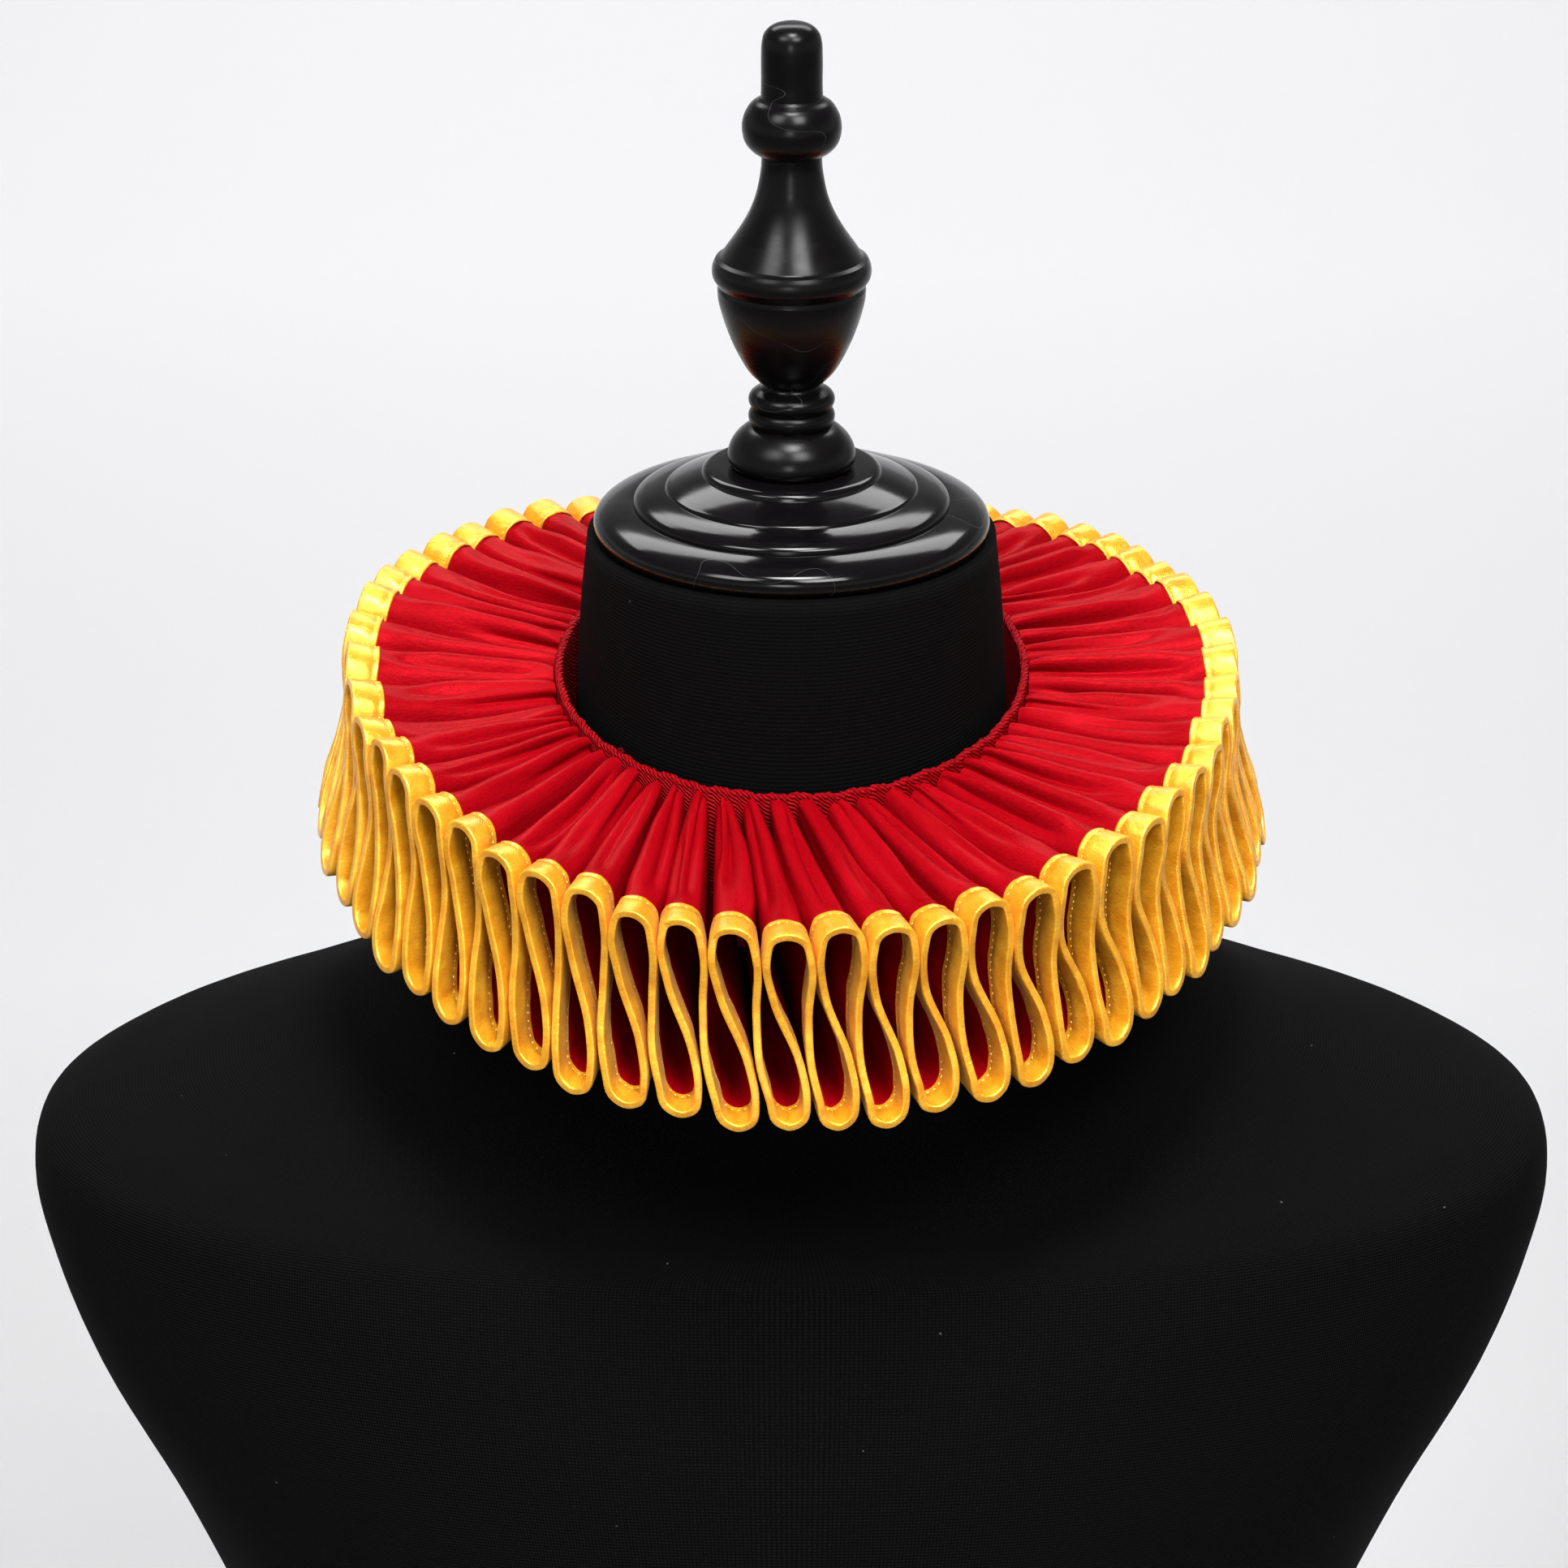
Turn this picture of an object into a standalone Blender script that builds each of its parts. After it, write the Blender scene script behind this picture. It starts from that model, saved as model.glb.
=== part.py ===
"""Pleated red ruff collar with a gold edge, worn by a limbless dress form with a turned cap and finial.

Metres, +Z up. The front of the form faces -Y, and the origin is the centre of its flat underside.
"""

import math

import bpy
import bmesh
from mathutils import Vector

# Levels. Every height in the tables below is measured from the neck level.
NECK_LEVEL = 0.560

# Pleats of the ruff, one figure of eight each, counted from the front centre towards the wearer's left.
PLEATS = 56
FIRST_PLEAT = -26
PITCH = 2 * math.pi / PLEATS
CROWDING = 0.0847

# The ruff's inner edge, on the neckband.
INNER_RADIUS = 0.0668
INNER_DEPTH = 0.042
INNER_DROP = 0.0012

# The ruff's outer edge: radius at the top and bottom loops, and the height of both round the neck.
TOP_RADIUS = 0.1250
BOTTOM_RADIUS = 0.1342
TOP_EDGE = {"mean": 0.0005, "tilt": 0.0176, "saddle": 0.0074, "lean": 0.0028}
BOTTOM_EDGE = {"mean": -0.0490, "tilt": 0.0190, "saddle": 0.0082, "lean": 0.0013}

# Angles by which the bottom loops trail the top ones, at the sides and at the back, and by which the inner edge
# trails the outer one at the front.
BOTTOM_TRAIL = {"side": 0.079, "back": 0.038}
INNER_TRAIL = 0.157

# Cloth thickness, and the width of the gold edge on each side of the strip.
STRIP_WALL = 0.0012
BINDING_WALL = 0.0016
BINDING_WIDTH = 0.0090
SEAM_GAP = 0.0003

# Unevenness from pleat to pleat: height of the loops, their reach outward, and their place along the edge.
HEIGHT_SWAY = 0.0013
REACH_SWAY = 0.0012
PLACE_SWAY = 0.014

# Neckband.
BAND_RADIUS = 0.0665
BAND_WALL = 0.0022
BAND_DEPTH = 0.046
BAND_EDGE = {"mean": 0.0032, "tilt": 0.0128, "saddle": 0.0, "lean": 0.0}
BAND_STEPS = 64
BACK_SLIT = math.radians(0.8)

# One pleat seen from outside: place across in pitches at the outer and inner edge, share of the height, and
# how far the cloth is tucked in towards the neck.
PLEAT_COLUMNS = ("across_outer", "across_inner", "up", "tuck")
PLEAT_ROWS = (
    (-0.440, -0.420, 0.130, 0.0000),
    (-0.335, -0.290, 0.030, 0.0000),
    (-0.040, -0.030, 0.000, 0.0000),
    (0.215, 0.200, 0.035, 0.0000),
    (0.290, 0.285, 0.140, 0.0000),
    (0.180, 0.165, 0.310, 0.0015),
    (-0.330, -0.290, 0.660, 0.0020),
    (-0.410, -0.385, 0.880, 0.0000),
    (-0.300, -0.260, 0.970, 0.0000),
    (0.000, 0.000, 1.000, 0.0000),
    (0.300, 0.260, 0.970, 0.0000),
    (0.410, 0.385, 0.880, 0.0000),
    (0.345, 0.360, 0.550, 0.0030),
    (0.385, 0.405, 0.300, 0.0015),
)

# Torso from the floor to the top of the neck: height at the sides, how much lower the front lies than that,
# half width, depth to the front and to the back, and squareness of the outline.
TORSO_STEPS = 48
TORSO_COLUMNS = ("height", "tilt", "half_width", "front", "back", "square")
TORSO_ROWS = (
    (-0.560, 0.000, 0.1560, 0.112, 0.112, 2.1),
    (-0.530, 0.000, 0.1490, 0.109, 0.108, 2.1),
    (-0.500, 0.000, 0.1415, 0.103, 0.1005, 2.1),
    (-0.470, 0.000, 0.1350, 0.0975, 0.093, 2.1),
    (-0.443, 0.000, 0.1325, 0.0945, 0.0885, 2.1),
    (-0.413, 0.000, 0.1345, 0.0955, 0.0868, 2.1),
    (-0.380, 0.000, 0.1400, 0.1015, 0.0870, 2.1),
    (-0.335, 0.000, 0.1505, 0.1145, 0.091, 2.2),
    (-0.283, 0.000, 0.1655, 0.1245, 0.097, 2.3),
    (-0.240, 0.000, 0.1840, 0.126, 0.101, 2.3),
    (-0.200, 0.000, 0.2055, 0.120, 0.103, 2.3),
    (-0.172, 0.001, 0.2155, 0.113, 0.103, 2.3),
    (-0.148, 0.003, 0.2200, 0.106, 0.102, 2.3),
    (-0.1365, 0.005, 0.2180, 0.102, 0.100, 2.3),
    (-0.1280, 0.008, 0.2065, 0.098, 0.097, 2.2),
    (-0.1205, 0.011, 0.1820, 0.093, 0.092, 2.1),
    (-0.1120, 0.012, 0.1550, 0.088, 0.087, 2.0),
    (-0.1005, 0.014, 0.1280, 0.084, 0.082, 2.0),
    (-0.0870, 0.015, 0.1040, 0.0800, 0.0775, 2.0),
    (-0.0720, 0.014, 0.0860, 0.0755, 0.0735, 2.0),
    (-0.0570, 0.013, 0.0745, 0.0705, 0.0695, 2.0),
    (-0.0500, 0.013, 0.0690, 0.0675, 0.0670, 2.0),
    (-0.0430, 0.0128, 0.0640, 0.0640, 0.0640, 2.0),
    (-0.0300, 0.0128, 0.0618, 0.0618, 0.0618, 2.0),
    (-0.0100, 0.0120, 0.0606, 0.0606, 0.0606, 2.0),
    (0.0200, 0.0040, 0.0590, 0.0590, 0.0590, 2.0),
    (0.0422, 0.0000, 0.0568, 0.0568, 0.0568, 2.0),
)

# Turned neck cap, then the finial above it: radius and height up their outlines.
CAP_STEPS = 36
CAP_ROWS = (
    (0.0538, 0.0425),
    (0.0547, 0.0438),
    (0.0549, 0.0456),
    (0.0543, 0.0474),
    (0.0522, 0.0492),
    (0.0490, 0.0505),
    (0.0444, 0.0511),
    (0.0436, 0.0526),
    (0.0400, 0.0540),
    (0.0354, 0.0550),
    (0.0344, 0.0560),
    (0.0295, 0.0580),
    (0.0250, 0.0595),
    (0.0242, 0.0612),
    (0.0185, 0.0617),
)

FINIAL_STEPS = 20
FINIAL_ROWS = (
    (0.0166, 0.0620),
    (0.0176, 0.0640),
    (0.0174, 0.0665),
    (0.0160, 0.0695),
    (0.0135, 0.0722),
    (0.0108, 0.0736),
    (0.0118, 0.0760),
    (0.0106, 0.0786),
    (0.0118, 0.0812),
    (0.0103, 0.0836),
    (0.0080, 0.0852),
    (0.0122, 0.0900),
    (0.0161, 0.0972),
    (0.0189, 0.1046),
    (0.0203, 0.1112),
    (0.0200, 0.1140),
    (0.0213, 0.1162),
    (0.0217, 0.1184),
    (0.0209, 0.1208),
    (0.0191, 0.1222),
    (0.0157, 0.1272),
    (0.0115, 0.1342),
    (0.0090, 0.1420),
    (0.0082, 0.1500),
    (0.0112, 0.1520),
    (0.0134, 0.1568),
    (0.0130, 0.1614),
    (0.0103, 0.1648),
    (0.0083, 0.1662),
    (0.0083, 0.1804),
    (0.0068, 0.1842),
    (0.0030, 0.1862),
)

# Colours, as linear red, green and blue, with the roughness of each surface.
LOOKS = {
    "red_satin": ((0.45, 0.004, 0.012), 0.42),
    "gold_satin": ((0.75, 0.42, 0.05), 0.42),
    "red_twill": ((0.38, 0.004, 0.010), 0.60),
    "black_jersey": ((0.008, 0.008, 0.010), 0.90),
    "black_lacquer": ((0.006, 0.005, 0.006), 0.12),
}


def clear_scene():
    """Start from an empty scene."""
    for item in list(bpy.data.objects):
        bpy.data.objects.remove(item, do_unlink=True)


def make_material(name):
    """A plain Principled material from the table of looks."""
    colour, roughness = LOOKS[name]
    material = bpy.data.materials.new(name)
    material.use_nodes = True
    shader = material.node_tree.nodes["Principled BSDF"]
    shader.inputs["Base Color"].default_value = (*colour, 1.0)
    shader.inputs["Roughness"].default_value = roughness
    return material


def make_object(name, material, points, faces):
    """One closed solid with outward faces."""
    mesh = bpy.data.meshes.new(name)
    mesh.from_pydata([tuple(point) for point in points], [], faces)
    shape = bmesh.new()
    shape.from_mesh(mesh)
    bmesh.ops.recalc_face_normals(shape, faces=shape.faces)
    shape.to_mesh(mesh)
    shape.free()
    mesh.materials.append(material)
    solid = bpy.data.objects.new(name, mesh)
    bpy.context.collection.objects.link(solid)
    return solid


def make_stack(name, material, rings):
    """A solid through closed rings of points, from the lowest to the highest, with flat ends."""
    count = len(rings[0])
    points = [point for ring in rings for point in ring]
    faces = [tuple(range(count)), tuple(range(len(points) - count, len(points)))]
    for level in range(len(rings) - 1):
        for step in range(count):
            here = level * count + step
            beside = level * count + (step + 1) % count
            faces.append((here, beside, beside + count, here + count))
    return make_object(name, material, points, faces)


def make_wall(name, material, rails):
    """A strip whose section has its corners on the rails, closed by a flat face at each end."""
    corners = len(rails)
    length = len(rails[0])
    points = [rail[step] for step in range(length) for rail in rails]
    faces = [tuple(range(corners)), tuple(range((length - 1) * corners, length * corners))]
    for step in range(length - 1):
        for corner in range(corners):
            here = step * corners + corner
            beside = step * corners + (corner + 1) % corners
            faces.append((here, beside, beside + corners))
            faces.append((here, beside + corners, here + corners))
    return make_object(name, material, points, faces)


def edge_height(edge, angle):
    """Height of an edge that tilts down at the front, dips or rises at front and back alike, and leans to +X."""
    height = edge["mean"] - edge["tilt"] * math.cos(angle) - edge["saddle"] * math.cos(2 * angle)
    return height - edge["lean"] * math.sin(angle)


def polar(radius, angle, height):
    """A point at an angle round the neck, from the front towards +X, at a height from the neck level."""
    return Vector((radius * math.sin(angle), -radius * math.cos(angle), NECK_LEVEL + height))


def sway(count, seed):
    """A repeatable uneven number from -1 to 1 for each pleat."""
    return 0.6 * math.sin(2.3 * count + 1.7 * seed) + 0.4 * math.sin(5.1 * count + 2.9 * seed)


def pleat_angle(place):
    """Angle of a place along the edge, counted in pleats. The pleats crowd on the +X side, as shown."""
    angle = PITCH * place
    return angle - CROWDING * (1 - math.cos(angle))


def bottom_trail(angle):
    """How far round the neck a bottom loop trails its top loop."""
    return BOTTOM_TRAIL["side"] * math.sin(angle) + BOTTOM_TRAIL["back"] * (1 - math.cos(angle))


def inner_trail(angle):
    """How far round the neck the inner edge trails the outer one. It fades out to the sides and the back."""
    return INNER_TRAIL * math.cos(angle) * (1 + math.cos(angle)) / 2


def inner_point(pleat, row):
    """A point of the ruff's inner edge, on the neckband."""
    angle = pleat_angle(pleat + row["across_inner"])
    angle -= inner_trail(angle)
    top = edge_height(BAND_EDGE, angle) - INNER_DROP
    return polar(INNER_RADIUS, angle, top - INNER_DEPTH * (1 - row["up"]))


def outer_point(pleat, row):
    """A point of the ruff's outer edge, uneven from pleat to pleat."""
    up = row["up"]
    place = pleat + row["across_outer"] + PLACE_SWAY * (up * sway(pleat, 1) + (1 - up) * sway(pleat, 2))
    angle = pleat_angle(place)
    angle -= (1 - up) * bottom_trail(angle)
    top = edge_height(TOP_EDGE, angle) + HEIGHT_SWAY * sway(pleat, 3)
    bottom = edge_height(BOTTOM_EDGE, angle) + HEIGHT_SWAY * sway(pleat, 4)
    reach = REACH_SWAY * (up * sway(pleat, 5) + (1 - up) * sway(pleat, 6))
    radius = BOTTOM_RADIUS + (TOP_RADIUS - BOTTOM_RADIUS) * up + reach - row["tuck"]
    return polar(radius, angle, bottom + (top - bottom) * up)


def ruff_lines():
    """Straight lines across the pleated strip, each from its inner to its outer edge."""
    rows = [dict(zip(PLEAT_COLUMNS, row)) for row in PLEAT_ROWS]
    lines = []
    for pleat in range(FIRST_PLEAT, FIRST_PLEAT + PLEATS):
        lines += [(inner_point(pleat, row), outer_point(pleat, row)) for row in rows]
    return lines[:-1]


def wall_rails(lines, near, far, wall):
    """Four rails of a strip that lies on the lines. Near and far give a place on a line as a share of the way
    out to a point that is a length short of its outer end."""
    faces = ([], [], [], [])
    for step, (inner, outer) in enumerate(lines):
        before = lines[max(step - 1, 0)]
        after = lines[min(step + 1, len(lines) - 1)]
        reach = (outer - inner).normalized()
        width = (outer - inner).length
        for rail, (way, short) in enumerate((near, far)):
            share = way * (1 - short / width)
            middle = inner.lerp(outer, share)
            back = (middle - before[0].lerp(before[1], share)).cross(reach)
            ahead = (after[0].lerp(after[1], share) - middle).cross(reach)
            sides = [side.normalized() for side in (back, ahead) if side.length > 1e-9]
            normal = sum(sides, Vector((0, 0, 0))).normalized()
            offset = normal * (wall / 2 / max(normal.dot(sides[0]), 0.7))
            faces[rail].append(middle + offset)
            faces[3 - rail].append(middle - offset)
    return faces


def make_ruff():
    """The red pleated strip and the gold edge that carries it on."""
    lines = ruff_lines()
    strip = wall_rails(lines, (0.0, 0.0), (1.0, BINDING_WIDTH + SEAM_GAP), STRIP_WALL)
    make_wall("ruff_strip", make_material("red_satin"), strip)
    binding = wall_rails(lines, (1.0, BINDING_WIDTH), (1.0, 0.0), BINDING_WALL)
    make_wall("edge_binding", make_material("gold_satin"), binding)


def make_neckband():
    """The band round the neck, open by a narrow slit at the centre back."""
    rails = ([], [], [], [])
    for step in range(BAND_STEPS + 1):
        angle = -math.pi + BACK_SLIT + step * (2 * math.pi - 2 * BACK_SLIT) / BAND_STEPS
        top = edge_height(BAND_EDGE, angle)
        inside = BAND_RADIUS - BAND_WALL
        rails[0].append(polar(inside, angle, top - BAND_DEPTH))
        rails[1].append(polar(BAND_RADIUS, angle, top - BAND_DEPTH))
        rails[2].append(polar(BAND_RADIUS, angle, top))
        rails[3].append(polar(inside, angle, top))
    make_wall("neckband", make_material("red_twill"), rails)


def torso_ring(section):
    """One outline of the torso: wider than deep, with its own depth to the front and to the back."""
    power = 2 / section["square"]
    ring = []
    for step in range(TORSO_STEPS):
        angle = 2 * math.pi * step / TORSO_STEPS
        across = math.sin(angle)
        along = -math.cos(angle)
        depth = section["front"] if along < 0 else section["back"]
        x = math.copysign(section["half_width"] * abs(across) ** power, across)
        y = math.copysign(depth * abs(along) ** power, along)
        height = NECK_LEVEL + section["height"] + section["tilt"] * along
        ring.append(Vector((x, y, height)))
    return ring


def make_torso():
    """The form's body and neck, flat where it rests."""
    sections = [dict(zip(TORSO_COLUMNS, row)) for row in TORSO_ROWS]
    make_stack("form_torso", make_material("black_jersey"), [torso_ring(section) for section in sections])


def make_turned(name, rows, steps):
    """A turned solid from its outline."""
    rings = []
    for radius, height in rows:
        rings.append([polar(radius, 2 * math.pi * step / steps, height) for step in range(steps)])
    make_stack(name, make_material("black_lacquer"), rings)


def main():
    """Build every piece."""
    clear_scene()
    make_ruff()
    make_neckband()
    make_torso()
    make_turned("form_neck_cap", CAP_ROWS, CAP_STEPS)
    make_turned("form_finial", FINIAL_ROWS, FINIAL_STEPS)


main()
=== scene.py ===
"""A red satin ruff collar with a gold edge on a black dress form, in soft studio light."""

import math

import bmesh
import bpy
import numpy as np
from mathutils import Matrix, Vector


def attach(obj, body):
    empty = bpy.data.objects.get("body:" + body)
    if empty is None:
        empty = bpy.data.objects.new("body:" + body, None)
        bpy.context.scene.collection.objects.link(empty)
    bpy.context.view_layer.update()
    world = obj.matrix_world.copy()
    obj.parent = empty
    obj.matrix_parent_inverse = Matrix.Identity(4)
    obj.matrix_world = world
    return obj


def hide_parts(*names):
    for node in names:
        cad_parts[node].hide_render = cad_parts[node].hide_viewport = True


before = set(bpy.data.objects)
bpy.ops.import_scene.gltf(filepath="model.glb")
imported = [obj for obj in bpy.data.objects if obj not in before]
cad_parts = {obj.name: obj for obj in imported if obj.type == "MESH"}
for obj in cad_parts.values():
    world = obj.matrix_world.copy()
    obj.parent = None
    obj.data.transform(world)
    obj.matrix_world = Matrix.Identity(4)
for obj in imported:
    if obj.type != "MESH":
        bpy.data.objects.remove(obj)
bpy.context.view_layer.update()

# Heights in the tables are measured from this level.
NECK_LEVEL = 0.560

# Pleats of the ruff, counted from the front centre towards +X, and the share by which they stand
# closer together at the +X side and further apart at the -X side.
PLEATS = 56
FIRST_PLEAT = -26
PITCH = 2 * math.pi / PLEATS
CROWDING = 0.0847

# Inner and outer edges of the pleated strip, and the neckband's rim. The numbers of an edge are
# those that edge_height takes, and INNER_DROP is how far below the rim the strip starts.
INNER_RADIUS = 0.0668
INNER_DEPTH = 0.042
INNER_DROP = 0.0007
TOP_RADIUS = 0.1250
BOTTOM_RADIUS = 0.1342
TOP_EDGE = {"mean": 0.0005, "tilt": 0.0176, "saddle": 0.0074, "lean": 0.0028}
BOTTOM_EDGE = {"mean": -0.0490, "tilt": 0.0190, "saddle": 0.0082, "lean": 0.0013}
BAND_EDGE = {"mean": 0.0032, "tilt": 0.0128, "saddle": 0.0, "lean": 0.0}

# How far the pleats' bottoms and their inner ends trail round the neck, in radians, and how
# uneven the pleats are in height and reach.
BOTTOM_TRAIL = {"side": 0.079, "back": 0.038}
INNER_TRAIL = 0.157
HEIGHT_SWAY = 0.0011
REACH_SWAY = 0.0010

# How far each top and bottom loop stands from its even place, in pitches, from the first pleat to
# the last.
TOP_SHIFTS = (
    0.04, 0.02, 0.00, -0.03, -0.07, 0.04, -0.07, -0.03, -0.14, -0.14, -0.20, -0.24, -0.20, 0.07,
    0.46, 0.66, 0.48, 0.32, 0.28, 0.20, 0.14, 0.08, 0.06, 0.00, -0.09, -0.11, -0.06, -0.03,
    -0.04, -0.01, -0.05, -0.01, 0.01, 0.13, 0.21, 0.22, 0.10, 0.03, -0.08, -0.11, -0.11, 0.06,
    0.40, 0.61, 0.74, 0.80, 0.66, 0.54, 0.54, 0.42, 0.34, 0.18, 0.08, 0.05, 0.05, 0.05,
)
BOTTOM_SHIFTS = (
    0.04, 0.02, 0.00, -0.02, -0.04, 0.00, 0.00, 0.05, 0.10, 0.16, 0.24, 0.34, 0.42, 0.48,
    0.46, 0.40, 0.32, 0.31, 0.19, 0.08, -0.01, -0.06, -0.16, -0.09, -0.06, 0.06, 0.03, -0.04,
    -0.09, -0.05, 0.09, 0.11, 0.20, 0.20, 0.24, 0.00, -0.02, -0.18, -0.20, -0.20, -0.06, -0.10,
    0.10, 0.30, 0.42, 0.50, 0.50, 0.46, 0.42, 0.36, 0.28, 0.18, 0.10, 0.06, 0.05, 0.05,
)

# One pleat seen from outside: place across in pitches at the outer edge, at the inner edge and
# where it is pinched into the neckband, how much further on it lies at the left and at the right
# of the neck, share of the height, how far it is tucked in, and how many columns of the mesh lead
# on.
PLEAT_ROWS = (
    (-0.440, -0.420, -0.380, 0.00, 0.02, 0.130, 0.0000, 4),
    (-0.335, -0.290, -0.250, 0.00, 0.00, 0.030, 0.0000, 5),
    (-0.040, -0.030, -0.030, 0.00, 0.00, 0.000, 0.0000, 5),
    (0.215, 0.200, 0.180, 0.00, 0.00, 0.035, 0.0000, 4),
    (0.290, 0.285, 0.260, 0.00, 0.00, 0.140, 0.0000, 4),
    (0.180, 0.165, 0.160, -0.03, 0.02, 0.310, 0.0015, 7),
    (-0.330, -0.290, -0.260, 0.09, -0.03, 0.660, 0.0020, 5),
    (-0.405, -0.385, -0.345, 0.00, 0.00, 0.880, 0.0000, 5),
    (-0.300, -0.270, -0.245, 0.00, 0.00, 0.970, 0.0000, 6),
    (0.000, 0.000, 0.000, 0.00, 0.00, 1.000, 0.0000, 6),
    (0.300, 0.270, 0.245, 0.00, 0.00, 0.970, 0.0000, 5),
    (0.405, 0.385, 0.345, 0.00, 0.00, 0.880, 0.0000, 5),
    (0.355, 0.360, 0.330, 0.10, 0.13, 0.550, 0.0030, 5),
    (0.400, 0.405, 0.375, 0.09, 0.13, 0.300, 0.0015, 4),
)
CROWN_ROW = 9
STEPS = [row[7] for row in PLEAT_ROWS]
PLEAT_COLUMNS = sum(STEPS)
CROWN_COLUMN = sum(STEPS[:CROWN_ROW])

# The right of the neck, as the sine of the angle where it starts and where it is reached.
RIGHT_SIDE = (0.10, 0.60)

# Reach of a top and a bottom loop to each side, in pitches, the share of a shift that an opening
# gap takes up, and the share by which a pleat's inner end follows its loop.
TOP_REACH = 0.41
BOTTOM_REACH = 0.36
OPENING_SHARE = 0.4
INNER_SHARE = 0.5

# Rows of points from the neckband out. They crowd towards the neckband, and the last lies inside
# the binding, this far from its fold.
CLOTH_ROWS = 24
ROW_CROWDING = 1.15
CLOTH_INSET = 0.0035

# The pinch at the neckband and the rounding of the pleat ends there: how far out each reaches as
# a share of the width, and the rounding's depth.
PINCH_REACH = 0.17
ROUNDING_REACH = 0.025
ROUNDING = 0.0006

# How far the tops and bottoms of the pleats sag half way out, how far single pleats bow sideways
# or puff up there, and how far their tops swell to the sides: at which place across in full, and
# between which shares of the height.
TOP_SAG = 0.0015
BOTTOM_SAG = 0.0035
BOW = 0.0016
PUFF = 0.0012
SWELL = 0.0009
SWELL_ACROSS = 0.4
SWELL_UP = (0.4, 0.8)

# Soft folds on the pleats' tops: the kind of pleat that has the fold, its place across (-1 and 1
# are the pleat's sides), its depth (a ridge is positive), half width, where it starts and ends on
# the way out, and its lean.
CREASES = (
    (0, 0.30, -0.0023, 0.30, -0.30, 0.90, 0.22),
    (0, -0.45, 0.0013, 0.34, 0.05, 1.10, 0.10),
    (1, -0.10, -0.0025, 0.28, -0.30, 0.76, -0.30),
    (1, 0.55, 0.0014, 0.32, 0.10, 1.20, 0.10),
    (1, -0.74, -0.0016, 0.24, -0.30, 0.60, 0.00),
    (2, 0.06, 0.0017, 0.36, -0.10, 0.90, 0.24),
    (2, -0.56, -0.0021, 0.28, -0.20, 1.05, 0.16),
    (2, 0.76, -0.0017, 0.24, -0.30, 0.55, 0.00),
    (3, 0.22, -0.0027, 0.28, 0.00, 1.15, -0.26),
    (3, -0.38, 0.0016, 0.32, -0.20, 0.85, 0.05),
    (4, -0.08, -0.0018, 0.38, -0.30, 1.10, 0.18),
    (4, 0.56, 0.0012, 0.28, -0.10, 0.70, -0.10),
    (5, 0.42, -0.0023, 0.28, -0.10, 0.95, -0.34),
    (5, -0.35, -0.0016, 0.30, 0.20, 1.20, 0.20),
    (6, 0.00, 0.0018, 0.34, 0.00, 1.05, -0.16),
    (6, 0.60, -0.0022, 0.26, -0.30, 0.72, 0.12),
    (6, -0.62, -0.0020, 0.28, -0.10, 0.90, 0.00),
    (7, -0.26, -0.0027, 0.26, -0.20, 0.82, 0.28),
    (7, 0.36, 0.0014, 0.36, 0.00, 1.20, 0.14),
    (8, 0.10, -0.0014, 0.34, 0.30, 1.20, -0.20),
    (8, -0.50, 0.0017, 0.32, -0.20, 0.80, -0.10),
    (8, 0.72, -0.0020, 0.24, -0.30, 0.70, 0.00),
)

# Kinds of pleat, a pleat's half width in pitches, where beside it the folds die out, how slowly
# they rise and fade on the way out, how much they differ in place and depth, and how much of them
# is pressed flat next to the binding and where.
CREASE_KINDS = 9
CREASE_SPAN = 0.62
CREASE_SIDES = (1.15, 1.5)
CREASE_FADE = 0.30
CREASE_WANDER = 0.15
CREASE_VARIETY = 0.3
CREASE_PRESSING = 0.9
CREASE_PRESSED = (0.74, 0.88)

# Gold binding: its section, as distance in from the edge and height over the red cloth.
BINDING_SECTION = (
    (0.0091, 0.00025),
    (0.0090, 0.00060),
    (0.0085, 0.00075),
    (0.0077, 0.00032),
    (0.0070, 0.00077),
    (0.0050, 0.00090),
    (0.0026, 0.00101),
    (0.0008, 0.00107),
    (0.0003, 0.00102),
    (0.0001, 0.00089),
    (0.0000, 0.00072),
    (0.0000, 0.00036),
    (0.0000, 0.00000),
)

# Puckers of the binding: height, two lengths in which they come and go, slant, and how far in
# from the edge they start and are full.
PUCKER = 0.00012
PUCKER_LENGTHS = (0.0011, 0.0037)
PUCKER_SLANT = 40
PUCKER_INSET = (0.001, 0.006)

# Stitches: their row in the section, pitch, where in it the first starts, length, how much that
# differs, thickness, and how far their middle is raised, in thicknesses.
STITCH_ROW = 3
STITCH_PITCH = 0.0021
STITCH_START = 0.2
STITCH_LENGTH = 0.0015
STITCH_VARIETY = 0.12
STITCH_RADIUS = 0.00030
STITCH_RAISE = 0.6

# A slanting join in the binding: its place along the edge in pleats, the distance in from the
# edge where it has that place, its slant, height and half width.
JOIN_PLACE = 5.70
JOIN_INSET = 0.004
JOIN_SLANT = 0.9
JOIN_HEIGHT = 0.00040
JOIN_WIDTH = 0.0007

# Neckband: levels below its rim as first, last and number, unevenness of the rim as height,
# waves round the neck and start, and the opening at the back.
BAND_RADIUS = 0.0665
BAND_WALL = 0.0022
BAND_DEPTH = 0.046
BAND_STEPS = 1700
BAND_LEVELS = ((BAND_DEPTH, 0.006, 6), (0.0045, BAND_WALL, 3))
BAND_WAVES = ((0.00025, 56, 0), (0.00025, 23, 1), (0.00015, 131, 0))
BACK_SLIT = math.radians(0.8)

# The cord along the rim: the turns of its section from inside over the top, in half circles, its
# thickness over the band's wall, its twists round the neck, their relief and slant.
CORD_TURNS = (-0.15, 1.15)
CORD_STEPS = 14
CORD_THICKNESS = 1.02
CORD_TWISTS = 236
CORD_RELIEF = 0.10
CORD_SLANT = 2.2

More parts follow.
